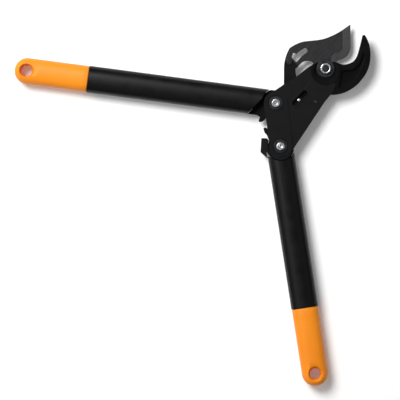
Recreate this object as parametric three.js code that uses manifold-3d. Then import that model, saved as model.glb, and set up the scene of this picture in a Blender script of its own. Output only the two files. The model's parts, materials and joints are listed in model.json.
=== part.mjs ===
// Compact geared bypass lopper: a hooked jaw and two side plates carry a curved blade and two long handles.
// Each handle turns on its own screw. Handle A's gear drives a toothed arm on the blade's tail and meshes
// with handle B's gear, so one closing movement turns all three.
// Millimetres and degrees. The tool lies flat: +Z is up through the pivots, +Y runs from the main pivot to
// the jaws, and the origin is on the main pivot's axis, at the flat face of the bolt head it lies on.
import * as THREE from 'three';
import { mergeVertices } from 'three/addons/utils/BufferGeometryUtils.js';
import Module from 'manifold-3d';

const wasm = await Module();
wasm.setup();

// ---- Driving dimensions ----
const gap = 0.3; // air between pieces that touch
const roundSegments = 32;

// Handles, measured from each pivot
const handleSpread = 106.4;
const handleLength = { a: 263, b: 242 };
const gripLength = { a: 74.3, b: 79.3 };
const tubeWidth = 27;
const tubeThickness = 22;
const tubeWall = 2.5;
const tubeOffset = 0.6; // the tube's centre line lies this far to the inner side of its pivot
const gripWidth = 26.2;
const gripThickness = 21.4;
const gripWall = 3;
const spigotLength = 24;
const hangHoleRadius = 5.5;
const hangHoleInset = 12.3;
const tangLength = 62;
const tangWidth = 17;

// Gears
const gearModule = 3.1;
const pressureAngle = 25;
const backlash = 0.36;
const handleTeeth = 14;
const bladeTeeth = 25;
const tipRelief = 0.05; // share of the module taken off every tip
const drivenAngle = 259; // from the main pivot to handle A's pivot
const twinAngle = 320.6; // from handle A's pivot to handle B's
const firstToothAngle = 273; // handle A's last tooth before its shoulder
const armToothAngle = 244; // about where the first tooth of the blade's arm stands
const armTeeth = 4;
const twinToothAngle = 148.1; // about where handle B's outermost tooth stands, from its centre line
const twinTeeth = 3;

// Thicknesses, from the back up
const boltHeadHeight = 3.6;
const plateThickness = 3;
const gearThickness = 3.8;
const bladeThickness = 3.2;
const tailThickness = 3.6;
const jawThickness = 6.1;
const lapThickness = 2.4;
const padHeight = 0.9;

// Fasteners
const boltRadius = 4;
const boltHeadRadius = 8;
const boltThreadRadius = 3;
const boltWasherRadius = 9;
const boltNutRadius = 5.2;
const tailSpacerRadius = 4;
const spacerPostRadius = 3.8;
const spacerScrewReach = 5;
const sleeveRadius = 4.2;
const screwRadius = 2.8;
const screwHeadRadius = 4.1;
const screwHeadHeight = 2.6;
const flangeRadius = 6.2;
const flangeHeight = 2.2;
const washerThickness = 1.4;
const rearScrewRadius = 2;
const pinRadius = 1.6;
const tailRivetRadius = 1.9;
const dowelRadius = 1.5;
const bumperRivetRadius = 1.3;
const blindFloor = 0.8; // left under a blind hole in the hook's tail

// Plates and rings
const ringRadiusA = 12;
const ringRadiusB = 13.6;
const throatOffsetB = 10;
const counterboreRadius = 7.5;
const counterboreFloor = 1.4;
const linkPadRadius = 10.4;
const linkPadShift = 1.6; // the raised pad lies this far away from the handles' throat
const slotLength = 19.6;
const slotWidth = 5.4;
const slotRim = 1.7;
const bossCentre = [1.4, -1.4];
const bossRadius = 14.4;
const bossRim = 2.8;
const bossRecess = 1.8;
const bossHeight = 1;
const pocketDepth = 3;

// Toothed arm
const sectorWidth = 8.8;
const armRise = 2.6; // the arm's back edge stands this far outside the pitch circle

// ---- Levels along +Z, worked out from the thicknesses ----
const rearPlateZ = boltHeadHeight + gap;
const gearZ = rearPlateZ + plateThickness + gap;
const bladeZ = gearZ + (gearThickness - bladeThickness) / 2;
const bladeTop = bladeZ + bladeThickness;
const tailZ = gearZ + gearThickness + gap;
const tailTop = tailZ + tailThickness;
const frontPlateZ = tailTop + gap;
const frontFaceZ = frontPlateZ + plateThickness;
const jawTop = tailZ + jawThickness;
const middleZ = tubeThickness / 2;

// ---- Plane geometry ----
const radians = THREE.MathUtils.degToRad;

function polar([x, y], radius, angle) {
  return [x + radius * Math.cos(radians(angle)), y + radius * Math.sin(radians(angle))];
}

const handlePitchRadius = gearModule * handleTeeth / 2;
const bladePitchRadius = gearModule * bladeTeeth / 2;
const armRadius = bladePitchRadius + armRise;
const sectorRadius = bladePitchRadius - sectorWidth;
const mainPivot = [0, 0];
const pivotA = polar(mainPivot, bladePitchRadius + handlePitchRadius, drivenAngle);
const pivotB = polar(pivotA, 2 * handlePitchRadius, twinAngle);
const angleA = 270 - handleSpread / 2;
const angleB = 270 + handleSpread / 2;

// The tooth that stands nearest to the wanted angle on a gear with a tooth at anyTooth.
function toothNear(wanted, anyTooth, teeth) {
  const pitch = 360 / teeth;
  return wanted + THREE.MathUtils.euclideanModulo(anyTooth - wanted + pitch / 2, pitch) - pitch / 2;
}

// A tooth at toothAngle on one gear fits a gap on the next, whose nearest tooth is half a pitch further on.
function meshedTooth(toothAngle, centreAngle, teeth, nextTeeth) {
  return centreAngle + 180 - (toothAngle - centreAngle) * teeth / nextTeeth + 180 / nextTeeth;
}

const firstToothB = meshedTooth(firstToothAngle, twinAngle, handleTeeth, handleTeeth);
const firstToothBlade = meshedTooth(firstToothAngle - 360, drivenAngle - 180, handleTeeth, bladeTeeth);

function arcPoints(centre, radius, from, to, steps = 8) {
  return Array.from({ length: steps + 1 }, (_, i) => polar(centre, radius, from + (to - from) * i / steps));
}

function curvePoints(points, steps) {
  return new THREE.SplineCurve(points.map(([x, y]) => new THREE.Vector2(x, y)))
    .getPoints(steps).map(({ x, y }) => [x, y]);
}

const involute = (cosine) => Math.tan(Math.acos(cosine)) - Math.acos(cosine);

// One involute tooth about the centre, from its low-angle root to its high-angle root.
function toothPoints(teeth, angle) {
  const pitch = gearModule * teeth / 2;
  const base = pitch * Math.cos(radians(pressureAngle));
  const root = pitch - 1.25 * gearModule;
  const tip = pitch + (1 - tipRelief) * gearModule;
  const halfAtPitch = Math.PI / 2 / teeth - backlash / 4 / pitch;
  const halfAngle = (radius) => THREE.MathUtils.radToDeg(
    halfAtPitch + involute(base / pitch) - involute(Math.min(1, base / radius)));
  const radii = [root, Math.max(base, root + 0.1), (base + pitch) / 2, pitch, (pitch + tip) / 2, tip];
  const rising = radii.map((radius) => polar(mainPivot, radius, angle - halfAngle(radius)));
  const falling = radii.toReversed().map((radius) => polar(mainPivot, radius, angle + halfAngle(radius)));
  return [...rising, ...falling];
}

function teethPoints(teeth, firstAngle, count) {
  return Array.from({ length: count }, (_, i) => toothPoints(teeth, firstAngle + i * 360 / teeth)).flat();
}

// Moves every corner of a closed outline outwards by the distance.
function grow(points, distance) {
  const turn = Math.sign(THREE.ShapeUtils.area(points.map(([x, y]) => ({ x, y }))));
  return points.map(([x, y], i) => {
    const [x0, y0] = points.at(i - 1);
    const [x1, y1] = points[(i + 1) % points.length];
    const before = new THREE.Vector2(y - y0, x0 - x).normalize();
    const after = new THREE.Vector2(y1 - y, x - x1).normalize();
    const sum = before.clone().add(after);
    const reach = turn * distance * Math.min(2 / sum.lengthSq(), 1.5);
    return [x + sum.x * reach, y + sum.y * reach];
  });
}

// ---- Solids ----
function shapeOf(points) {
  return new THREE.Shape(points.map(([x, y]) => new THREE.Vector2(x, y)));
}

function solidOf(geometry) {
  const bare = geometry.clone();
  bare.deleteAttribute('normal');
  bare.deleteAttribute('uv');
  const merged = mergeVertices(bare, 1e-4);
  return new wasm.Manifold(new wasm.Mesh({
    numProp: 3,
    vertProperties: new Float32Array(merged.attributes.position.array),
    triVerts: new Uint32Array(merged.index.array),
  }));
}

function prism(points, bottom, top) {
  const geometry = new THREE.ExtrudeGeometry(shapeOf(points), { depth: top - bottom, bevelEnabled: false });
  return solidOf(geometry.translate(0, 0, bottom));
}

function disc([x, y], radius, bottom, top, segments = roundSegments) {
  const geometry = new THREE.CylinderGeometry(radius, radius, top - bottom, segments);
  return solidOf(geometry.rotateX(Math.PI / 2).translate(x, y, (bottom + top) / 2));
}

function ring(centre, inner, outer, bottom, top) {
  return disc(centre, outer, bottom, top).subtract(disc(centre, inner, bottom - 1, top + 1));
}

function joined(...solids) {
  return solids.reduce((whole, solid) => whole.add(solid));
}

function cut(solid, ...tools) {
  return tools.reduce((rest, tool) => rest.subtract(tool), solid);
}

function surfaceOf(solid) {
  const { vertProperties, triVerts } = solid.getMesh();
  const geometry = new THREE.BufferGeometry();
  geometry.setAttribute('position', new THREE.BufferAttribute(vertProperties, 3));
  geometry.setIndex(new THREE.BufferAttribute(triVerts, 1));
  geometry.computeVertexNormals();
  return geometry;
}

// ---- Finishes ----
const blackPaint = { color: 0x0d0d0f, roughness: 0.45, metalness: 0.3 };
const blackCoat = { color: 0x131316, roughness: 0.35, metalness: 0.1 };
const blackPlastic = { color: 0x0b0b0c, roughness: 0.6, metalness: 0 };
const orangePlastic = { color: 0xf39a2e, roughness: 0.45, metalness: 0 };
const bladeSteel = { color: 0x3a3c40, roughness: 0.4, metalness: 0.7 };
const brightSteel = { color: 0xc9cbce, roughness: 0.2, metalness: 1 };
const darkSteel = { color: 0x3c3e42, roughness: 0.35, metalness: 0.9 };
const darkRubber = { color: 0x101010, roughness: 0.8, metalness: 0 };

function piece(name, solid, finish) {
  const mesh = new THREE.Mesh(surfaceOf(solid), new THREE.MeshStandardMaterial(finish));
  mesh.name = name;
  return mesh;
}

// ---- Side plates ----
// From the left shoulder round both handle pivots to the top of the right edge.
function plateSides() {
  return [
    [-13.3, -10.6],
    [-15.1, -25],
    [-18.7, -40],
    ...arcPoints(pivotA, ringRadiusA, 142.5, twinAngle - 90, 8),
    polar(polar(pivotB, throatOffsetB, twinAngle - 90), 6, twinAngle - 180),
    ...arcPoints(pivotB, ringRadiusB, twinAngle - 47.3, 358, 8),
    [pivotB[0] + 11, pivotB[1] + 7.7],
    [22.8, -25.8],
  ];
}

function frontPlateOutline() {
  const underBoss = arcPoints(bossCentre, bossRadius + gap, -8, -142, 12);
  return [...plateSides(), [21.2, -10], [18.6, -4.6], ...underBoss];
}

const slotCentre = [2.2, -39.1];
const slotPinPlace = [2.8, -40.9];
const tailRivetPlace = [16.2, -30.6];
const tailScrewPlace = [11, -20];
const spacerPlace = [pivotB[0] - 2, pivotB[1] + 33];

function stadium([x, y], length, width) {
  const reach = (length - width) / 2;
  return [...arcPoints([x, y + reach], width / 2, 0, 180), ...arcPoints([x, y - reach], width / 2, 180, 360)];
}

// Raised pad round both handle pivots.
function linkPad(bottom, top) {
  const [endA, endB] = [pivotA, pivotB].map((pivot) => polar(pivot, linkPadShift, twinAngle + 90));
  return prism([
    ...arcPoints(endA, linkPadRadius, twinAngle + 90, twinAngle + 270),
    ...arcPoints(endB, linkPadRadius, twinAngle - 90, twinAngle + 90),
  ], bottom, top);
}

function frontSidePlate() {
  const slot = (rim) => stadium(slotCentre, slotLength + 2 * rim, slotWidth + 2 * rim);
  const above = frontFaceZ + 9;
  return cut(
    joined(
      prism(frontPlateOutline(), frontPlateZ, frontFaceZ),
      linkPad(frontFaceZ - 1, frontFaceZ + padHeight),
      prism(slot(slotRim), frontFaceZ - 1, frontFaceZ + padHeight * 0.6),
    ),
    ...[pivotA, pivotB].map((pivot) => disc(pivot, counterboreRadius, frontPlateZ + counterboreFloor, above)),
    ...[pivotA, pivotB].map((pivot) => disc(pivot, sleeveRadius + gap, frontPlateZ - 1, above)),
    prism(slot(0), frontPlateZ - 1, above),
    disc(tailRivetPlace, tailRivetRadius + gap, frontPlateZ - 1, above),
  );
}

function rearSidePlate() {
  const outline = [...plateSides(), [20.3, -17], ...arcPoints(mainPivot, 10.5, -12, 186, 12)];
  return cut(
    prism(outline, rearPlateZ, rearPlateZ + plateThickness),
    disc(mainPivot, boltRadius + gap, rearPlateZ - 1, gearZ + 1),
    ...[pivotA, pivotB].map((pivot) => disc(pivot, sleeveRadius + gap, rearPlateZ - 1, gearZ + 1)),
    ...[tailScrewPlace, spacerPlace].map(
      (place) => disc(place, rearScrewRadius + gap, rearPlateZ - 1, gearZ + 1),
    ),
  );
}

// ---- Hook ----
function hookOutline() {
  const innerEdge = [[3.1, 49.8], [7.2, 43], [11, 36.4], [13.8, 30.8], [14.7, 25.2], [13.1, 19.7], [9.3, 15],
    [3.2, 12]];
  const outerEdge = [[21.2, -15.6], [25.3, -11.6], [30.3, -3.7], [33.3, 6.2], [33.7, 15.3], [31.6, 27.1],
    [26, 37.2], [17.5, 45.6], [9.1, 50.1], [4.4, 51.3]];
  const hub = [[2, 11.3], [-5.2, 4.9], [-9, 0.4], [-12, -5], [-13.1, -10.6]];
  const tail = [[-9, -15], [-7.5, -20], [-7.5, -47], [-4, -51], [13, -51], [18, -46], [18, -18]];
  return [...curvePoints(innerEdge, 28).slice(0, -1), ...hub, ...tail, ...curvePoints(outerEdge, 27)];
}

function hookPocket() {
  const outer = [[14.9, 39], [21.7, 33.6], [27.3, 19.6], [27.4, 7.3], [22.6, -4.6]];
  const inner = [[17.6, 2.4], [12.6, 9.6], [20.2, 18.6], [20.6, 27]];
  return [...curvePoints(outer, 14), ...inner];
}

function hook() {
  const outline = hookOutline();
  const overPlate = grow(frontPlateOutline(), gap);
  const above = frontFaceZ + 9;
  const body = cut(
    prism(outline, tailZ, jawTop + bossHeight),
    prism(overPlate, tailTop, above),
    prism(outline, jawTop, above).subtract(disc(bossCentre, bossRadius, 0, above)),
  );
  return cut(
    body,
    prism(hookPocket(), jawTop - pocketDepth, above),
    disc(bossCentre, bossRadius - bossRim, jawTop - bossRecess, above),
    disc(mainPivot, boltRadius + gap, tailZ - 1, frontFaceZ),
    disc(tailScrewPlace, rearScrewRadius + gap, tailZ - 1, tailTop - blindFloor),
    disc(slotPinPlace, pinRadius + gap, tailZ + blindFloor, tailTop + 1),
    disc(tailRivetPlace, tailRivetRadius + gap, tailZ + blindFloor, tailTop + 1),
  );
}

// ---- Main pivot ----
const washerZ = jawTop - bossRecess + gap;
const nutZ = washerZ + washerThickness + gap;
const nutTop = nutZ + 2.8;

function pivotBolt() {
  return joined(
    disc(mainPivot, boltHeadRadius, 0, boltHeadHeight),
    disc(mainPivot, boltRadius, boltHeadHeight - 1, washerZ - gap),
    disc(mainPivot, boltThreadRadius, washerZ - 1, nutTop - 0.5),
  );
}

// ---- Blade and its toothed arm ----
const tailEndAngle = 223;
const coverAngle = 245;
const bladeHubRadius = 13.2;
const dowelReach = 1.1;
const armRivetPlace = polar(mainPivot, armRadius - 4.6, 213.7);
const armDowelPlace = polar(mainPivot, sectorRadius + 3.2, 218.5);

function bladeOutline() {
  const edge = [[-12.9, 49.3], [-7, 43.5], [-1.6, 38.2], [3.3, 33.1], [5.9, 28], [6.4, 23.5], [5.3, 19.1],
    [3.4, 15.4], [2.9, 11.8]];
  const spine = [[-39.5, -6.7], [-37.3, -0.4], [-34.2, 5.1], [-29.4, 10.9], [-24.6, 16.8], [-20.3, 23.9],
    [-15.8, 36.3], [-13.3, 49.3]];
  const window = [[-15, -4.3], [-17.8, -5.9], [-20.4, -9], [-21.1, -11.4], [-21.3, -19.8]];
  return [
    ...curvePoints(edge, 24).slice(0, -1),
    ...arcPoints(mainPivot, bladeHubRadius, 52, -162, 20),
    ...window,
    polar(mainPivot, sectorRadius + 0.4, tailEndAngle),
    ...arcPoints(mainPivot, armRadius, tailEndAngle, 194, 6),
    ...curvePoints(spine, 28),
  ];
}

function bladeSlot() {
  const narrowEnd = arcPoints([-27.2, -0.6], 2.3, 10, 165, 6);
  const wideEnd = [
    [-30.8, -5.6], [-31.1, -9.4], [-33.3, -10.1], [-34, -10.9], [-33.5, -12.7], [-31.8, -15.2],
  ];
  return [...narrowEnd, ...wideEnd, [-26.6, -15.6], [-25.4, -15.2], [-25.7, -7.5]];
}

function blade() {
  return cut(
    prism(bladeOutline(), bladeZ, bladeTop),
    prism(bladeSlot(), bladeZ - 1, bladeTop + 1),
    disc(mainPivot, boltRadius + gap, bladeZ - 1, bladeTop + 1),
    disc(armRivetPlace, pinRadius + gap, bladeZ - 1, bladeTop + 1, 16),
    disc(armDowelPlace, dowelRadius + gap, bladeZ - 1, bladeTop + 1, 16),
  );
}

// The arm is a toothed sector, full height over its plain part. It laps over the blade's tail, and a cover
// above the teeth carries its back edge on as far as the side plates.
function gearArm() {
  const pitchAngle = 360 / bladeTeeth;
  const sectorStart = tailEndAngle + 1;
  const firstTooth = toothNear(armToothAngle, firstToothBlade, bladeTeeth);
  const sectorEnd = firstTooth + (armTeeth - 1 + 0.37) * pitchAngle;
  const plainEnd = firstTooth - 0.71 * pitchAngle;
  const rootRadius = bladePitchRadius - 1.25 * gearModule;
  const sector = [
    ...arcPoints(mainPivot, sectorRadius, sectorEnd, sectorStart, 14),
    ...arcPoints(mainPivot, armRadius, sectorStart, plainEnd, 3),
    polar(mainPivot, rootRadius, firstTooth - 0.57 * pitchAngle),
    ...teethPoints(bladeTeeth, firstTooth, armTeeth),
    polar(mainPivot, rootRadius, sectorEnd),
  ];
  const plain = [
    ...arcPoints(mainPivot, sectorRadius, plainEnd, sectorStart, 3),
    ...arcPoints(mainPivot, armRadius, sectorStart, plainEnd, 3),
  ];
  const cover = [
    ...arcPoints(mainPivot, sectorRadius, coverAngle - 4.5, sectorStart, 4),
    polar(mainPivot, armRadius, sectorStart),
    polar(mainPivot, armRadius + 3, coverAngle),
  ];
  const lap = [
    ...arcPoints(mainPivot, sectorRadius, sectorStart + 3, sectorStart, 2),
    [-21.5, -19.7],
    [-21.7, -17],
    [-29.8, -17.2],
    ...arcPoints(mainPivot, armRadius, 212.4, sectorStart + 3, 4),
  ];
  const lapZ = bladeTop + gap;
  const lapTop = lapZ + lapThickness;
  return cut(
    joined(
      prism(sector, gearZ, gearZ + gearThickness),
      prism(plain, gearZ, lapTop),
      prism(cover, tailZ, lapTop),
      prism(lap, lapZ, lapTop),
    ),
    disc(armRivetPlace, pinRadius + gap, bladeTop, lapTop + 1, 16),
    disc(armDowelPlace, dowelRadius + gap, bladeTop, lapZ + dowelReach + gap, 16),
  );
}

function armRivet() {
  const lapTop = bladeTop + gap + lapThickness;
  return joined(
    disc(armRivetPlace, pinRadius, bladeZ, lapTop + gap + 0.5, 16),
    disc(armRivetPlace, 2.6, lapTop + gap, lapTop + gap + 0.9, 16),
  );
}

// ---- Handle pivots: a flanged barrel nut from the back, a socket screw from the front ----
function thrustWasher(pivot) {
  return ring(pivot, sleeveRadius + gap, counterboreRadius, tailZ, tailTop);
}

function barrelNut(pivot) {
  const top = frontPlateZ + 1;
  return cut(
    joined(
      disc(pivot, flangeRadius, rearPlateZ - gap - flangeHeight, rearPlateZ - gap),
      disc(pivot, sleeveRadius, rearPlateZ - gap - 1, top),
    ),
    disc(pivot, screwRadius + gap, gearZ, top + 1),
  );
}

function headWasher(pivot) {
  const bottom = frontPlateZ + counterboreFloor + gap;
  return ring(pivot, screwRadius + gap, counterboreRadius - 0.6, bottom, bottom + washerThickness);
}

function pivotScrew(pivot) {
  const headZ = frontPlateZ + counterboreFloor + washerThickness + 2 * gap;
  const socket = disc(pivot, 1.4, headZ + screwHeadHeight - 1.8, headZ + screwHeadHeight + 1, 6);
  return cut(
    joined(
      disc(pivot, screwRadius, gearZ + 1, headZ + 1),
      disc(pivot, screwHeadRadius, headZ, headZ + screwHeadHeight),
    ),
    socket,
  );
}

// ---- Small parts that hold the head together ----
function rearScrew(place, shankTop) {
  return joined(
    disc(place, 4, rearPlateZ - gap - flangeHeight, rearPlateZ - gap, 24),
    disc(place, rearScrewRadius, rearPlateZ - gap - 1, shankTop, 24),
  );
}

function slotPin() {
  return disc(slotPinPlace, pinRadius, tailZ + blindFloor + gap, frontFaceZ - 0.4, 20);
}

function tailRivet() {
  return disc(tailRivetPlace, tailRivetRadius, tailZ + blindFloor + gap, frontFaceZ + 0.2, 20);
}

// ---- Handles, each built along +X with its inner side towards +Y ----
function ovalPoints(width, thickness) {
  const flatness = 2.4;
  const corner = (value) => Math.sign(value) * Math.abs(value) ** (2 / flatness);
  return Array.from({ length: roundSegments }, (_, i) => {
    const angle = 2 * Math.PI * i / roundSegments;
    return [width / 2 * corner(Math.cos(angle)), thickness / 2 * corner(Math.sin(angle))];
  });
}

// An oval bar along the handle. A mirrored handle has its centre line on the other side.
function bar(width, thickness, from, to, side) {
  const geometry = new THREE.ExtrudeGeometry(
    shapeOf(ovalPoints(width, thickness)), { depth: to - from, bevelEnabled: false });
  const alongHandle = new THREE.Matrix4().makeBasis(
    new THREE.Vector3(0, 1, 0), new THREE.Vector3(0, 0, 1), new THREE.Vector3(1, 0, 0));
  return solidOf(geometry.applyMatrix4(alongHandle).translate(from, side * tubeOffset, middleZ));
}

const mirrored = (points, side) => points.map(([u, v]) => [u, side * v]);
const inHandle = (angle, handleAngle, side) =>
  THREE.MathUtils.euclideanModulo(side * (angle - handleAngle), 360);

const mouthRadius = ringRadiusB + 1;
const tubeStart = 8.5;
const innerShoulder = tubeWidth / 2 + tubeOffset - 0.1;
const outerShoulder = tubeWidth / 2 - tubeOffset - 0.2;
const slantFoot = [9.8, -9];
const slantTop = [26.6, 14];

// Everything nearer the head than the tube's end: round the pivot, and slanted on handle A
// so that the end lies along the plates' throat side when the handles close.
function mouthCut(side) {
  const roundEnd = disc(mainPivot, mouthRadius, -1, tubeThickness + 1, 48);
  if (side < 0) {
    return roundEnd;
  }
  const slant = [[-40, -30], [-5, -30], slantFoot, slantTop, [26.6, 30], [-40, 30]];
  return roundEnd.add(prism(slant, -1, tubeThickness + 1));
}

// A point on the tang beside the slanted mouth, this far to the inner side.
function besideSlant(v) {
  const share = (v - slantFoot[1]) / (slantTop[1] - slantFoot[1]);
  return [slantFoot[0] + share * (slantTop[0] - slantFoot[0]) - 1.4 * gap, v];
}

function outerTang() {
  return [
    polar(mainPivot, ringRadiusA, 262),
    [1, -outerShoulder],
    ...arcPoints(mainPivot, mouthRadius - gap, 297.5, 318, 3),
    [12.6, -tangWidth / 2],
    [tangLength, -tangWidth / 2],
  ];
}

function tangA() {
  const firstTooth = inHandle(firstToothAngle, angleA, 1);
  const outline = [
    [tangLength, tangWidth / 2],
    besideSlant(tangWidth / 2),
    besideSlant(innerShoulder),
    [17.2, innerShoulder],
    ...teethPoints(handleTeeth, firstTooth, 8).slice(2),
    ...outerTang(),
  ];
  return cut(
    prism(outline, gearZ, gearZ + gearThickness),
    disc(mainPivot, sleeveRadius + gap, gearZ - 1, gearZ + gearThickness + 1),
  );
}

const bumperRivetPlace = [6.2, -8.1];
const neckRadius = ringRadiusA + 0.4; // handle B's tang under the stop block

function tangB() {
  const firstTooth = toothNear(twinToothAngle, inHandle(firstToothB, angleB, -1), handleTeeth);
  const outline = [
    [tangLength, tangWidth / 2],
    [15, tangWidth / 2],
    [10, 10.6],
    ...arcPoints(mainPivot, neckRadius, 58, 126, 8),
    ...teethPoints(handleTeeth, firstTooth, twinTeeth),
    ...outerTang(),
  ];
  return cut(
    prism(mirrored(outline, -1), gearZ, gearZ + gearThickness),
    disc(mainPivot, sleeveRadius + gap, gearZ - 1, gearZ + gearThickness + 1),
    disc(bumperRivetPlace, bumperRivetRadius + gap, gearZ - 1, gearZ + gearThickness + 1, 16),
  );
}

// Stop block on handle B's tang: it meets handle A's tube when the handles are closed.
const bumperLipTop = tailZ + 2;

function bumper() {
  const block = [[-10.1, 12.2], [-11, 17.4], [2.6, 20.4], [9.6, 14.6], [3.9, 14.6]];
  const mouthSide = arcPoints(mainPivot, mouthRadius - gap, 74.5, 51.5, 3);
  const tangSide = arcPoints(mainPivot, neckRadius + gap, 60, 126, 8);
  const lip = [[-5, 13.5], [-4.4, 9.4], [3.4, 9.4], [5, 6.3], [9.4, 6.4], [9, 10.6], [7.8, 12]];
  return cut(
    joined(
      prism(mirrored([...block, ...mouthSide, ...tangSide], -1), gearZ, tailTop),
      prism(mirrored(lip, -1), tailZ, bumperLipTop),
    ),
    disc(bumperRivetPlace, bumperRivetRadius + gap, tailZ - 1, tailTop + 1, 16),
  );
}

function bumperRivet() {
  return joined(
    disc(bumperRivetPlace, bumperRivetRadius, gearZ + 0.2, bumperLipTop + gap + 0.5, 16),
    disc(bumperRivetPlace, bumperRivetRadius + 0.6, bumperLipTop + gap, bumperLipTop + gap + 0.9, 16),
  );
}

function handleTube(seam, side) {
  return cut(
    bar(tubeWidth, tubeThickness, tubeStart, seam, side),
    bar(tubeWidth - 2 * tubeWall, tubeThickness - 2 * tubeWall, tubeStart - 1, seam + 1, side),
    mouthCut(side),
  );
}

// Moulded block that fills the tube's mouth and holds the tang.
function tangPlug(side) {
  const inset = 2 * (tubeWall + gap);
  const bore = { width: tubeWidth - inset, thickness: tubeThickness - inset };
  const slot = [[-1, -1], [tangLength + gap, -1], [tangLength + gap, 1], [-1, 1]]
    .map(([u, v]) => [u, v * (tangWidth / 2 + gap)]);
  return cut(
    bar(bore.width, bore.thickness, tubeStart + gap, tangLength + 8, side),
    prism(slot, gearZ - gap, gearZ + gearThickness + gap),
    mouthCut(side),
    prism(grow([[7, -11.6], [27, -11.6], [27, 13], [7, 13]], gap), gearZ - gap, gearZ + gearThickness + gap),
  );
}

function grip(seam, end, side) {
  const inset = 2 * (tubeWall + gap);
  const bore = { width: tubeWidth - inset, thickness: tubeThickness - inset };
  const centreLine = side * tubeOffset;
  const endRadius = gripWidth / 2;
  const plan = [
    [seam + gap, centreLine - endRadius],
    ...arcPoints([end - endRadius, centreLine], endRadius, -90, 90, 14),
    [seam + gap, centreLine + endRadius],
  ];
  const hole = [end - hangHoleInset, centreLine];
  const hollowEnd = hole[0] - hangHoleRadius - gripWall;
  return cut(
    joined(
      bar(gripWidth, gripThickness, seam + gap, end + 1, side).intersect(prism(plan, -1, tubeThickness + 1)),
      bar(bore.width, bore.thickness, seam - spigotLength, seam + 1, side),
    ),
    bar(bore.width - 2 * gripWall, bore.thickness - 2 * gripWall, seam - spigotLength - 1, hollowEnd, side),
    disc(hole, hangHoleRadius, -1, tubeThickness + 1),
  );
}

// ---- Assembly ----
function handle(letter, pivot, angle, side, tang) {
  const group = new THREE.Group();
  const seam = handleLength[letter] - gripLength[letter];
  group.position.set(...pivot, 0);
  group.rotation.z = radians(angle);
  group.add(
    piece(`handle_${letter}_tang`, tang, blackPaint),
    piece(`handle_${letter}_tang_plug`, tangPlug(side), blackPlastic),
    piece(`handle_${letter}_tube`, handleTube(seam, side), blackCoat),
    piece(`handle_${letter}_grip`, grip(seam, handleLength[letter], side), orangePlastic),
  );
  return group;
}

function handlePivot(letter, pivot) {
  return [
    piece(`handle_${letter}_barrel_nut`, barrelNut(pivot), darkSteel),
    piece(`handle_${letter}_thrust_washer`, thrustWasher(pivot), darkSteel),
    piece(`handle_${letter}_head_washer`, headWasher(pivot), blackPaint),
    piece(`handle_${letter}_screw`, pivotScrew(pivot), brightSteel),
  ];
}

const lopper = new THREE.Group();
lopper.add(
  piece('hook', hook(), blackPaint),
  piece('front_side_plate', frontSidePlate(), blackPlastic),
  piece('rear_side_plate', rearSidePlate(), blackPaint),
  piece('pivot_bolt', pivotBolt(), darkSteel),
  piece('pivot_washer',
    ring(mainPivot, boltThreadRadius + gap, boltWasherRadius, washerZ, washerZ + washerThickness), darkSteel),
  piece('pivot_nut', ring(mainPivot, boltThreadRadius + gap, boltNutRadius, nutZ, nutTop), brightSteel),
  ...handlePivot('a', pivotA),
  ...handlePivot('b', pivotB),
  piece('tail_screw', rearScrew(tailScrewPlace, tailTop - blindFloor - gap), darkSteel),
  piece('tail_spacer',
    ring(tailScrewPlace, rearScrewRadius + gap, tailSpacerRadius, gearZ, gearZ + gearThickness), darkSteel),
  piece('tail_rivet', tailRivet(), darkSteel),
  piece('slot_pin', slotPin(), brightSteel),
  piece('spacer_screw', rearScrew(spacerPlace, gearZ + spacerScrewReach), darkSteel),
  piece('spacer_post', cut(disc(spacerPlace, spacerPostRadius, gearZ, tailTop),
    disc(spacerPlace, rearScrewRadius + gap, gearZ - 1, gearZ + spacerScrewReach + gap)), darkSteel),
  piece('blade', blade(), bladeSteel),
  piece('gear_arm', gearArm(), blackPaint),
  piece('arm_rivet', armRivet(), darkSteel),
  piece('arm_dowel', disc(armDowelPlace, dowelRadius, bladeZ, bladeTop + gap + dowelReach, 16), darkSteel),
  handle('a', pivotA, angleA, 1, tangA()),
  handle('b', pivotB, angleB, -1, tangB()),
);

const stopBlock = new THREE.Group();
stopBlock.position.set(...pivotB, 0);
stopBlock.rotation.z = radians(angleB);
stopBlock.add(
  piece('bumper', bumper(), darkRubber),
  piece('bumper_rivet', bumperRivet(), darkSteel),
);
lopper.add(stopBlock);

export default lopper;
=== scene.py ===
"""Looks of a compact geared bypass lopper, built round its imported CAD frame.

Lengths are in metres, and +Z is up through the pivots."""
import json
import math

import bmesh
import bpy
from mathutils import Matrix, Vector
from mathutils.geometry import delaunay_2d_cdt


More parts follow.
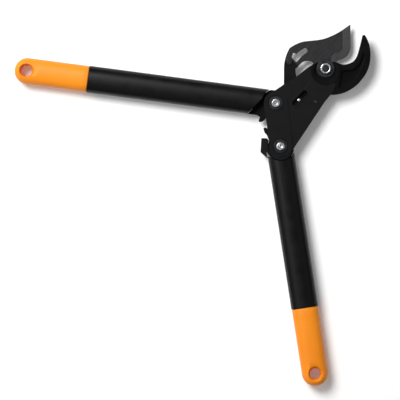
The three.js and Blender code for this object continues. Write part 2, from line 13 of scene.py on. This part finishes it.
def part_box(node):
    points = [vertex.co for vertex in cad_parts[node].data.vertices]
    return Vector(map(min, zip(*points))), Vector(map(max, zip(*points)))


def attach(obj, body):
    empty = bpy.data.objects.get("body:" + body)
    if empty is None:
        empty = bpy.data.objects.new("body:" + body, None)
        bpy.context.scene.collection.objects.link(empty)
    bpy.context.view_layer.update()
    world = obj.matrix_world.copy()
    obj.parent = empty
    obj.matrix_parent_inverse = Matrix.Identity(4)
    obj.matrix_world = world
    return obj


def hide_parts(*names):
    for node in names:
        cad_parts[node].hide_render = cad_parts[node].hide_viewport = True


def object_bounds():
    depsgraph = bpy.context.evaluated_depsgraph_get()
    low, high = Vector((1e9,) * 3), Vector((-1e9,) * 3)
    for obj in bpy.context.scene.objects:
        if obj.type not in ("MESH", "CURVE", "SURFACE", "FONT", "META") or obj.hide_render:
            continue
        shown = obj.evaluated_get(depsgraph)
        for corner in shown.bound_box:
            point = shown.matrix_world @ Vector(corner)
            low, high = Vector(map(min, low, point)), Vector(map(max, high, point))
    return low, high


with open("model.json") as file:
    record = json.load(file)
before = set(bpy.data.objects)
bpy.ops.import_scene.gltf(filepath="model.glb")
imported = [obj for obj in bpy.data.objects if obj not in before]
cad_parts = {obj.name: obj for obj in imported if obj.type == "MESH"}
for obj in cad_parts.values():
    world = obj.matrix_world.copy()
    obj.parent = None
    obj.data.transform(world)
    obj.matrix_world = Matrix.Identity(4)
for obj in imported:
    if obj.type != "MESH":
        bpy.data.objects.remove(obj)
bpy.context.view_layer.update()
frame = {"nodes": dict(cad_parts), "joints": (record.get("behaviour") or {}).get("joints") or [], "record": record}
MM = 0.001
SCENE = bpy.context.scene

SLOT_OF = {s["node"]: s["material_slot"] for s in frame["record"]["subparts"]}
BODY_OF = {n: body for body, nodes in frame["record"]["behaviour"]["bodies"].items() for n in nodes}
PIVOT = {j["child"]: Vector(j["pos_m"]) for j in frame["joints"]}


# ---------------------------------------------------------------- materials
class Look:
    """A Principled material whose texture nodes are added step by step, in object space."""

    def __init__(self, name, color, roughness, metallic=0.0, specular=0.5):
        self.material = bpy.data.materials.new(name)
        self.material.use_nodes = True
        self.nodes = self.material.node_tree.nodes
        self.links = self.material.node_tree.links
        self.shader = self.nodes["Principled BSDF"]
        self.shader.inputs["Base Color"].default_value = (*color, 1)
        self.shader.inputs["Roughness"].default_value = roughness
        self.shader.inputs["Metallic"].default_value = metallic
        self.shader.inputs["Specular IOR Level"].default_value = specular
        self.coord = self.nodes.new("ShaderNodeTexCoord").outputs["Object"]
        self.color_out = None
        self.rough_out = None
        self.normal_out = None
        self.color = color
        self.roughness = roughness

    def stretched(self, scale):
        mapping = self.nodes.new("ShaderNodeMapping")
        mapping.inputs["Scale"].default_value = scale
        self.links.new(self.coord, mapping.inputs["Vector"])
        return mapping.outputs["Vector"]

    def noise(self, scale, detail=3.0, rough=0.5, vector=None):
        node = self.nodes.new("ShaderNodeTexNoise")
        node.inputs["Scale"].default_value = scale
        node.inputs["Detail"].default_value = detail
        node.inputs["Roughness"].default_value = rough
        self.links.new(vector or self.coord, node.inputs["Vector"])
        return node.outputs["Fac"]

    def math(self, operation, a, b=0.0, clamp=False):
        node = self.nodes.new("ShaderNodeMath")
        node.operation = operation
        node.use_clamp = clamp
        for socket, value in zip(node.inputs, (a, b)):
            if isinstance(value, bpy.types.NodeSocket):
                self.links.new(value, socket)
            else:
                socket.default_value = value
        return node.outputs["Value"]

    def remap(self, value, low, high, to_low, to_high):
        node = self.nodes.new("ShaderNodeMapRange")
        limits = {"From Min": low, "From Max": high, "To Min": to_low, "To Max": to_high}
        for name, number in limits.items():
            node.inputs[name].default_value = number
        self.links.new(value, node.inputs["Value"])
        return node.outputs["Result"]

    def tint(self, mask, color):
        """Mixes a colour over the base where the mask is 1."""
        node = self.nodes.new("ShaderNodeMix")
        node.data_type = "RGBA"
        self.links.new(mask, node.inputs["Factor"])
        if self.color_out is None:
            node.inputs["A"].default_value = (*self.color, 1)
        else:
            self.links.new(self.color_out, node.inputs["A"])
        node.inputs["B"].default_value = (*color, 1)
        self.color_out = node.outputs["Result"]
        self.links.new(self.color_out, self.shader.inputs["Base Color"])
        return self

    def vary_roughness(self, value, low, high, spread):
        """Moves the roughness up and down by the spread as the texture value goes from low to high."""
        change = self.remap(value, low, high, -spread, spread)
        base = self.rough_out if self.rough_out is not None else self.roughness
        self.rough_out = self.math("ADD", change, base, clamp=True)
        self.links.new(self.rough_out, self.shader.inputs["Roughness"])
        return self

    def bump(self, height, distance, strength=1.0):
        node = self.nodes.new("ShaderNodeBump")
        node.inputs["Strength"].default_value = strength
        node.inputs["Distance"].default_value = distance
        self.links.new(height, node.inputs["Height"])
        if self.normal_out is not None:
            self.links.new(self.normal_out, node.inputs["Normal"])
        self.normal_out = node.outputs["Normal"]
        self.links.new(self.normal_out, self.shader.inputs["Normal"])
        return self

    def edge_mask(self, radius, low=0.02, high=0.25):
        """1 along convex and concave edges, 0 on open surfaces."""
        bevel = self.nodes.new("ShaderNodeBevel")
        bevel.samples = 4
        bevel.inputs["Radius"].default_value = radius
        geometry = self.nodes.new("ShaderNodeNewGeometry")
        dot = self.nodes.new("ShaderNodeVectorMath")
        dot.operation = "DOT_PRODUCT"
        self.links.new(bevel.outputs["Normal"], dot.inputs[0])
        self.links.new(geometry.outputs["Normal"], dot.inputs[1])
        return self.remap(self.math("SUBTRACT", 1.0, dot.outputs["Value"]), low, high, 0.0, 1.0)


def painted_steel(name, color, roughness, edge_highlight_color, edge_radius=0.5 * MM):
    look = Look(name, color, roughness, specular=0.1)
    speckle = look.noise(2600, 2)
    cloud = look.noise(60, 4)
    patches = look.remap(look.noise(420, 4), 0.4, 0.62, 0.25, 1)
    # Lighter colour along the edges, broken into patches: a painted edge highlight.
    painted_edge_highlight = look.math("MULTIPLY", look.edge_mask(edge_radius), patches)
    look.tint(look.remap(cloud, 0.35, 0.7, 0, 0.5), tuple(c * 1.6 for c in color))
    look.tint(painted_edge_highlight, edge_highlight_color)
    look.vary_roughness(cloud, 0.3, 0.7, 0.07)
    look.bump(speckle, 0.03 * MM, 0.5)
    return look.material


def moulded_plastic(name, color, roughness, grain, grain_depth, edge_highlight_color, specular):
    look = Look(name, color, roughness, specular=specular)
    cloud = look.noise(35, 3)
    pebble = look.nodes.new("ShaderNodeTexVoronoi")
    pebble.inputs["Scale"].default_value = grain
    look.links.new(look.coord, pebble.inputs["Vector"])
    look.tint(look.remap(cloud, 0.35, 0.7, 0, 0.35), tuple(min(1, c * 1.35) for c in color))
    # Lighter colour along the edges: a painted edge highlight.
    look.tint(look.math("MULTIPLY", look.edge_mask(0.6 * MM), 0.6), edge_highlight_color)
    look.vary_roughness(look.noise(90, 4), 0.3, 0.7, 0.06)
    look.bump(pebble.outputs["Distance"], grain_depth, 0.4)
    return look.material


def blade_coating(name):
    look = Look(name, (0.0155, 0.0155, 0.0165), 0.42, metallic=0.2, specular=0.3)
    brushed = look.noise(900, 3, vector=look.stretched((1.0, 0.12, 1.0)))
    cloud = look.noise(45, 5)
    look.tint(look.remap(cloud, 0.35, 0.7, 0, 0.5), (0.024, 0.024, 0.026))
    look.tint(look.remap(brushed, 0.45, 0.75, 0, 0.3), (0.032, 0.032, 0.034))
    facing = look.nodes.new("ShaderNodeSeparateXYZ")
    geometry = look.nodes.new("ShaderNodeNewGeometry")
    look.links.new(geometry.outputs["True Normal"], facing.inputs[0])
    sloping = look.remap(look.math("ABSOLUTE", facing.outputs["Z"]), 0.985, 0.97, 0, 1)
    streaks = look.noise(700, 3, vector=look.stretched((1.0, 0.1, 1.0)))
    ground_mask = look.math("MULTIPLY", sloping, look.remap(streaks, 0.3, 0.6, 0.7, 1))
    look.tint(ground_mask, (0.075, 0.076, 0.078))
    # Lighter grey along the edges: a painted edge highlight.
    look.tint(look.math("MULTIPLY", look.edge_mask(0.3 * MM), 0.6), (0.06, 0.062, 0.065))
    look.vary_roughness(brushed, 0.3, 0.7, 0.08)
    look.bump(brushed, 0.02 * MM, 0.4)
    return look.material


def plated_steel(name, color, roughness):
    look = Look(name, color, roughness, metallic=1.0)
    scratch = look.noise(1500, 2, vector=look.stretched((1.0, 0.15, 1.0)))
    stain = look.noise(240, 4)
    look.tint(look.remap(stain, 0.45, 0.75, 0, 0.4), tuple(c * 0.75 for c in color))
    look.vary_roughness(stain, 0.3, 0.7, 0.08)
    look.bump(scratch, 0.01 * MM, 0.4)
    return look.material


def rubber(name, color):
    look = Look(name, color, 0.8, specular=0.2)
    dust = look.noise(300, 4)
    look.tint(look.remap(dust, 0.5, 0.75, 0, 0.5), tuple(c * 2.2 for c in color))
    look.bump(look.noise(1800, 2), 0.04 * MM, 0.5)
    return look.material


BLACK = (0.0028, 0.0028, 0.0031)
LOOKS = {
    "hook_paint": painted_steel(
        "hook_paint", (0.0026, 0.0026, 0.0029), 0.36, (0.012, 0.012, 0.013), 0.7 * MM),
    "plate_plastic": moulded_plastic(
        "plate_plastic", (0.0022, 0.0022, 0.0024), 0.5, 1900, 0.04 * MM, (0.006, 0.006, 0.0065), 0.14),
    "plate_paint": painted_steel("plate_paint", BLACK, 0.45, (0.012, 0.012, 0.013)),
    "gear_paint": painted_steel("gear_paint", (0.0024, 0.0024, 0.0027), 0.42, (0.014, 0.014, 0.015)),
    "blade_steel": blade_coating("blade_steel"),
    "bright_steel": plated_steel("bright_steel", (0.86, 0.87, 0.88), 0.28),
    "dark_steel": plated_steel("dark_steel", (0.045, 0.047, 0.052), 0.38),
    "tube_coat": moulded_plastic(
        "tube_coat", (0.0014, 0.0015, 0.0018), 0.4, 2600, 0.012 * MM, (0.003,) * 3, 0.2),
    "plug_plastic": moulded_plastic(
        "plug_plastic", (0.0015, 0.0015, 0.0016), 0.6, 1600, 0.04 * MM, (0.004,) * 3, 0.1),
    "grip_plastic": moulded_plastic(
        "grip_plastic", (0.86, 0.25, 0.009), 0.45, 1700, 0.05 * MM, (0.93, 0.38, 0.03), 0.28),
    "bumper_rubber": rubber("bumper_rubber", (0.0035, 0.0035, 0.0035)),
}


# ---------------------------------------------------------------- mesh helpers
def new_piece(name, mesh, node):
    """An object that stands for a CAD node, with its body and its slot."""
    piece = bpy.data.objects.new(name, mesh)
    SCENE.collection.objects.link(piece)
    mesh.materials.clear()
    mesh.materials.append(LOOKS[SLOT_OF[node]])
    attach(piece, BODY_OF[node])
    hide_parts(node)
    return piece


def cleaned_copy(node, flat_angle=0.5):
    """The CAD node's solid with its shared corners merged and its flat faces in one piece each."""
    bm = bmesh.new()
    bm.from_mesh(frame["nodes"][node].data)
    bmesh.ops.remove_doubles(bm, verts=bm.verts, dist=2e-6)
    bmesh.ops.dissolve_limit(bm, angle_limit=math.radians(flat_angle), verts=bm.verts, edges=bm.edges)
    return bm


def mesh_of(bm, name, sharp_angle=28):
    mesh = bpy.data.meshes.new(name)
    bm.to_mesh(mesh)
    bm.free()
    for polygon in mesh.polygons:
        polygon.use_smooth = True
    mesh.set_sharp_from_angle(angle=math.radians(sharp_angle))
    return mesh


def refined(node, name, width, segments=3, rim=None, rim_width=0.0):
    """A CAD node's shape with rounded edges and smooth round walls.

    Edges for which rim(edge) is true are rounded more widely than the rest."""
    bm = cleaned_copy(node)
    widest = max(width, rim_width)
    weight = bm.edges.layers.float.new("bevel_weight_edge")
    for edge in bm.edges:
        if edge.is_manifold and edge.calc_face_angle() > math.radians(35):
            edge[weight] = (rim_width if rim and rim(edge) else width) / widest
    piece = new_piece(name, mesh_of(bm, name), node)
    bevel = piece.modifiers.new("edge_round", "BEVEL")
    bevel.width = widest
    bevel.segments = segments
    bevel.limit_method = "WEIGHT"
    bevel.harden_normals = True
    bevel.use_clamp_overlap = True
    bevel.miter_outer = "MITER_ARC"
    return piece


SAME_HEIGHT = 0.02 * MM


def at_height(edge, z):
    return all(abs(v.co.z - z) < SAME_HEIGHT for v in edge.verts)


def ordered_loops(edges):
    """Closed loops of plane points through a set of boundary edges."""
    links = {}
    for edge in edges:
        first, second = edge.verts
        links.setdefault(first, []).append(second)
        links.setdefault(second, []).append(first)
    loops = []
    while links:
        start = min(links, key=lambda v: (v.co.x, v.co.y))
        loop, here, before = [], start, None
        while here in links:
            loop.append(here.co.xy.copy())
            onward = [v for v in links.pop(here) if v is not before and (v in links or v is start)]
            before, here = here, onward[0] if onward else None
        loops.append(loop)
    return loops


def face_loops(node, z):
    """Outlines of the CAD node's flat face at height z, the outer one first."""
    bm = cleaned_copy(node)
    flat = {f for f in bm.faces
            if abs(f.normal.z) > 0.99 and abs(f.calc_center_median().z - z) < SAME_HEIGHT}
    rim = [e for e in bm.edges if sum(f in flat for f in e.link_faces) == 1]
    loops = ordered_loops(rim)
    bm.free()

    def area(loop):
        return abs(sum(p.cross(q) for p, q in zip(loop, loop[1:] + loop[:1])) / 2)
    return sorted(loops, key=area, reverse=True)


def slab(loops, bottom, top_height, inner_points=()):
    """A plate between a flat bottom and a top surface whose height is top_height(point)."""
    points, lines, faces = [], [], []
    for loop in loops:
        start = len(points)
        points += loop
        lines += [(start + i, start + (i + 1) % len(loop)) for i in range(len(loop))]
        faces.append(list(range(start, len(points))))
    points += list(inner_points)
    flat, _, triangles, *_ = delaunay_2d_cdt(points, lines, faces, 2, 1e-7)
    bm = bmesh.new()
    upper = [bm.verts.new((p.x, p.y, top_height(p))) for p in flat]
    lower = [bm.verts.new((p.x, p.y, bottom)) for p in flat]
    sides = {}
    for triangle in triangles:
        centre = sum((flat[i] for i in triangle), Vector((0, 0))) / len(triangle)
        if not inside(centre, loops[0]) or any(inside(centre, hole) for hole in loops[1:]):
            continue
        bm.faces.new([upper[i] for i in triangle])
        bm.faces.new([lower[i] for i in reversed(triangle)])
        for i, j in zip(triangle, triangle[1:] + triangle[:1]):
            sides[(i, j)] = True
    for i, j in sides:
        if (j, i) not in sides:
            bm.faces.new((upper[j], upper[i], lower[i], lower[j]))
    bmesh.ops.delete(bm, geom=[v for v in bm.verts if not v.link_faces], context="VERTS")
    bmesh.ops.recalc_face_normals(bm, faces=bm.faces)
    return bm


def inside(point, loop):
    """Whether a point of the plane is within a closed loop."""
    crossings = False
    for p, q in zip(loop, loop[1:] + loop[:1]):
        if (p.y > point.y) != (q.y > point.y):
            if point.x < p.x + (point.y - p.y) * (q.x - p.x) / (q.y - p.y):
                crossings = not crossings
    return crossings


# ---------------------------------------------------------------- stage, camera and light
def make_stage():
    bm = bmesh.new()
    bmesh.ops.create_grid(bm, x_segments=8, y_segments=8, size=3)
    mesh = bpy.data.meshes.new("floor")
    bm.to_mesh(mesh)
    bm.free()
    floor = bpy.data.objects.new("floor", mesh)
    SCENE.collection.objects.link(floor)
    floor.location.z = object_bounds()[0].z - 0.2 * MM
    look = Look("floor_paper", (0.93, 0.93, 0.93), 0.9, specular=0.1)
    look.tint(look.remap(look.noise(3, 2), 0.4, 0.6, 0, 0.3), (0.95, 0.95, 0.95))
    look.shader.inputs["Emission Color"].default_value = (1, 1, 1, 1)
    look.shader.inputs["Emission Strength"].default_value = 0.12
    mesh.materials.append(look.material)


VIEW_RIGHT = Vector((0.7151, 0.6990, 0)).normalized()
VIEW_UP = Vector((-VIEW_RIGHT.y, VIEW_RIGHT.x, 0))
VIEW_BACK = Vector((0, 0, 1))


def make_camera():
    """Straight above the tool with a long lens, turned so that the jaws point to the upper right."""
    data = bpy.data.cameras.new("camera")
    camera = bpy.data.objects.new("camera", data)
    SCENE.collection.objects.link(camera)
    distance = 2.4
    picture_width = 0.4
    data.sensor_width = 36
    data.lens = data.sensor_width * distance / picture_width
    data.clip_end = 20
    aim = Vector((2.0, -181.3, 11)) * MM
    axes = Matrix((VIEW_RIGHT, VIEW_UP, VIEW_BACK)).transposed()
    camera.matrix_world = Matrix.Translation(aim + VIEW_BACK * distance) @ axes.to_4x4()
    SCENE.camera = camera


LIGHT_AIM = Vector((0, -0.12, 0))


def soft_light(name, azimuth, elevation, distance, size, power):
    data = bpy.data.lights.new(name, "AREA")
    data.shape = "DISK"
    data.size = size
    data.energy = power
    light = bpy.data.objects.new(name, data)
    SCENE.collection.objects.link(light)
    a, e = math.radians(azimuth), math.radians(elevation)
    offset = Vector((math.cos(a) * math.cos(e), math.sin(a) * math.cos(e), math.sin(e))) * distance
    light.location = LIGHT_AIM + offset
    light.rotation_euler = offset.to_track_quat("Z", "Y").to_euler()


def make_light():
    world = bpy.data.worlds.new("world")
    world.use_nodes = True
    world.node_tree.nodes["Background"].inputs["Color"].default_value = (1, 1, 1, 1)
    world.node_tree.nodes["Background"].inputs["Strength"].default_value = 0.07
    SCENE.world = world
    soft_light("key", 178, 54, 1.7, 0.9, 34)
    soft_light("fill_low", -60, 50, 1.8, 1.5, 2)
    soft_light("fill_high", 60, 50, 1.8, 1.5, 2.5)
    soft_light("fill_back", -130, 50, 1.8, 1.5, 5)
    SCENE.view_settings.view_transform = "Standard"


# ---------------------------------------------------------------- blade
BLADE_BOTTOM, BLADE_TOP = (c.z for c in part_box("blade"))
CUTTING_EDGE = [Vector(p) * MM for p in (
    (-12.9, 49.3), (-7, 43.5), (-1.6, 38.2), (3.3, 33.1),
    (5.9, 28), (6.4, 23.5), (5.3, 19.1), (3.4, 15.4))]
GROUND_WIDTH = 8 * MM
EDGE_LEFT = 0.5 * MM  # thickness that the grinding leaves at the cutting edge
GRID_CORNER = Vector((-24, 6)) * MM
GRID_STEP = 1.3 * MM
GRID_COUNT = (26, 34)


def distance_to_edge(point):
    """How far a point of the plane is from the cutting edge."""
    nearest = []
    for start, end in zip(CUTTING_EDGE, CUTTING_EDGE[1:]):
        along = end - start
        share = max(0.0, min(1.0, (point - start).dot(along) / along.length_squared))
        nearest.append((point - start - along * share).length)
    return min(nearest)


def blade_top(point):
    share = max(0.0, 1 - distance_to_edge(point) / GROUND_WIDTH)
    return BLADE_TOP - (BLADE_TOP - BLADE_BOTTOM - EDGE_LEFT) * share


def make_blade():
    """The CAD blade's outline, with its front face ground down towards the cutting edge."""
    loops = face_loops("blade", BLADE_TOP)
    columns, rows = GRID_COUNT
    spots = [GRID_CORNER + Vector((i, j)) * GRID_STEP for i in range(columns) for j in range(rows)]
    spots = [p for p in spots if inside(p, loops[0]) and distance_to_edge(p) < 1.3 * GROUND_WIDTH
             and not any(inside(p, hole) for hole in loops[1:])]
    bm = slab(loops, BLADE_BOTTOM, blade_top, inner_points=spots)
    piece = new_piece("blade_ground", mesh_of(bm, "blade_ground", 30), "blade")
    bevel = piece.modifiers.new("edge_round", "BEVEL")
    bevel.width = 0.25 * MM
    bevel.segments = 2
    bevel.limit_method = "ANGLE"
    bevel.angle_limit = math.radians(50)
    bevel.use_clamp_overlap = True


# ---------------------------------------------------------------- grips
HANDLE_ANGLE = {"a": 216.8, "b": 323.2}
GRIP_START = {"a": 188.7 * MM, "b": 162.7 * MM}
GRIP_END = {"a": 263 * MM, "b": 242 * MM}
GRIP_HALF_WIDTH, GRIP_HALF_THICKNESS = 13.1 * MM, 10.7 * MM
MIDDLE_Z = 11 * MM
CENTRE_SHIFT = 0.6 * MM
HOLE_INSET, HOLE_RADIUS = 12.3 * MM, 5.5 * MM


def oval(half_width, half_thickness, count=72, flatness=2.4):
    """Points round a squared oval, as (across, up)."""
    def corner(value):
        return math.copysign(abs(value) ** (2 / flatness), value)
    turns = [2 * math.pi * i / count for i in range(count)]
    return [(half_width * corner(math.cos(t)), half_thickness * corner(math.sin(t))) for t in turns]


def skin(bm, rings):
    """Quads between successive rings of vertices, with both ends closed."""
    for ring, onward in zip(rings, rings[1:]):
        for i in range(len(ring)):
            j = (i + 1) % len(ring)
            bm.faces.new((ring[i], ring[j], onward[j], onward[i]))
    bm.faces.new(reversed(rings[0]))
    bm.faces.new(rings[-1])
    bmesh.ops.recalc_face_normals(bm, faces=bm.faces)


def grip_body(letter, side):
    """Closed oval body of a grip, with a lip at the seam and a rounded end, along local +X."""
    start, end = GRIP_START[letter] + 0.3 * MM, GRIP_END[letter]
    stations = [(start, 0.955), (start + 0.3 * MM, 0.985), (start + 0.9 * MM, 1.0)]
    stations += [(start + (end - start) * k / 12, 1.0) for k in range(1, 9)]
    bend = end - GRIP_HALF_WIDTH
    stations = [(u, scale) for u, scale in stations if u < bend - 1 * MM]
    stations += [(bend + GRIP_HALF_WIDTH * math.sin(math.radians(k)), 1.0) for k in range(0, 90, 5)]
    stations.append((end - 0.006 * MM, 1.0))
    bm = bmesh.new()
    rings = []
    for u, scale in stations:
        reach = max(0.0, (u - bend) / GRIP_HALF_WIDTH)
        half_width = GRIP_HALF_WIDTH * math.sqrt(max(0.0, 1 - reach ** 2)) * scale
        half_thickness = GRIP_HALF_THICKNESS * (1 - reach ** 4) ** 0.45 * scale
        rings.append([bm.verts.new((u, side * CENTRE_SHIFT + v, MIDDLE_Z + w))
                      for v, w in oval(half_width, half_thickness)])
    skin(bm, rings)
    return bm


def hole_cutter(centre):
    """Round bar with flared ends, for a hang hole with a rounded rim."""
    half = 12 * MM
    profile = [
        (-half, 11.2 * MM), (-10.9 * MM, 9 * MM), (-10.2 * MM, 7.8 * MM), (-9.2 * MM, 6.8 * MM),
        (-7.8 * MM, 6.1 * MM), (-6 * MM, 5.6 * MM), (-3 * MM, HOLE_RADIUS)]
    profile += [(-w, r) for w, r in reversed(profile)]
    bm = bmesh.new()
    rings = []
    for w, radius in profile:
        turns = [2 * math.pi * i / 64 for i in range(64)]
        rings.append([bm.verts.new((centre[0] + radius * math.cos(t), centre[1] + radius * math.sin(t),
                                    MIDDLE_Z + w)) for t in turns])
    skin(bm, rings)
    return bm


def less(body, cutter, name):
    """Mesh of the body with the cutter's volume taken away."""
    objects = []
    for part, bm in (("whole", body), ("cutter", cutter)):
        mesh = bpy.data.meshes.new(part)
        bm.to_mesh(mesh)
        bm.free()
        objects.append(bpy.data.objects.new(part, mesh))
        SCENE.collection.objects.link(objects[-1])
    difference = objects[0].modifiers.new("cut", "BOOLEAN")
    difference.operation = "DIFFERENCE"
    difference.solver = "EXACT"
    difference.object = objects[1]
    bpy.context.view_layer.update()
    finished = objects[0].evaluated_get(bpy.context.evaluated_depsgraph_get())
    mesh = bpy.data.meshes.new_from_object(finished)
    mesh.name = name
    for leftover in objects:
        bpy.data.objects.remove(leftover)
    return mesh


def make_grip(letter, side):
    pivot = PIVOT["handle_" + letter]
    turn = Matrix.Rotation(math.radians(HANDLE_ANGLE[letter]), 4, "Z")
    place = Matrix.Translation((pivot.x, pivot.y, 0)) @ turn
    centre = (GRIP_END[letter] - HOLE_INSET, side * CENTRE_SHIFT)
    name = f"grip_{letter}"
    mesh = less(grip_body(letter, side), hole_cutter(centre), name)
    mesh.transform(place)
    for polygon in mesh.polygons:
        polygon.use_smooth = True
    mesh.set_sharp_from_angle(angle=math.radians(38))
    new_piece(name, mesh, f"handle_{letter}_grip")


# ---------------------------------------------------------------- the tool
make_stage()
make_camera()
make_light()

make_blade()
make_grip("a", 1)
make_grip("b", -1)

EDGE_ROUNDING = 0.3 * MM
WALL_FOOT_SPREAD = 0.05 * MM
HOOK_FACE, HOOK_FOOT = 17.4 * MM, 11.3 * MM
PLATE_FACE, PLATE_FOOT = 18.2 * MM, 15.2 * MM


def outer_wall(edge, top, foot):
    """An edge on a face's outline whose wall goes all the way down to the foot."""
    wall = [v for face in edge.link_faces for v in face.verts]
    return at_height(edge, top) and any(v.co.z < foot + WALL_FOOT_SPREAD for v in wall)


def on_top(node):
    """A test for the edges on top of a CAD node."""
    return lambda edge: at_height(edge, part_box(node)[1].z)


# Which edges of a piece are rounded more widely, and how widely.
WIDE_RIMS = {
    "hook": (lambda edge: outer_wall(edge, HOOK_FACE, HOOK_FOOT), 1.9 * MM),
    "front_side_plate": (lambda edge: outer_wall(edge, PLATE_FACE, PLATE_FOOT), 1.5 * MM),
    "pivot_nut": (on_top("pivot_nut"), 0.7 * MM),
    "handle_a_screw": (on_top("handle_a_screw"), 0.8 * MM),
    "handle_b_screw": (on_top("handle_b_screw"), 0.8 * MM),
    "slot_pin": (lambda edge: True, 0.6 * MM),
    "bumper": (lambda edge: True, 0.6 * MM),
}
DONE = {"blade", "handle_a_grip", "handle_b_grip"}
for cad_node in sorted(set(frame["nodes"]) - DONE):
    rim, rim_width = WIDE_RIMS.get(cad_node, (None, 0.0))
    refined(cad_node, cad_node + "_piece", EDGE_ROUNDING, rim=rim, rim_width=rim_width)
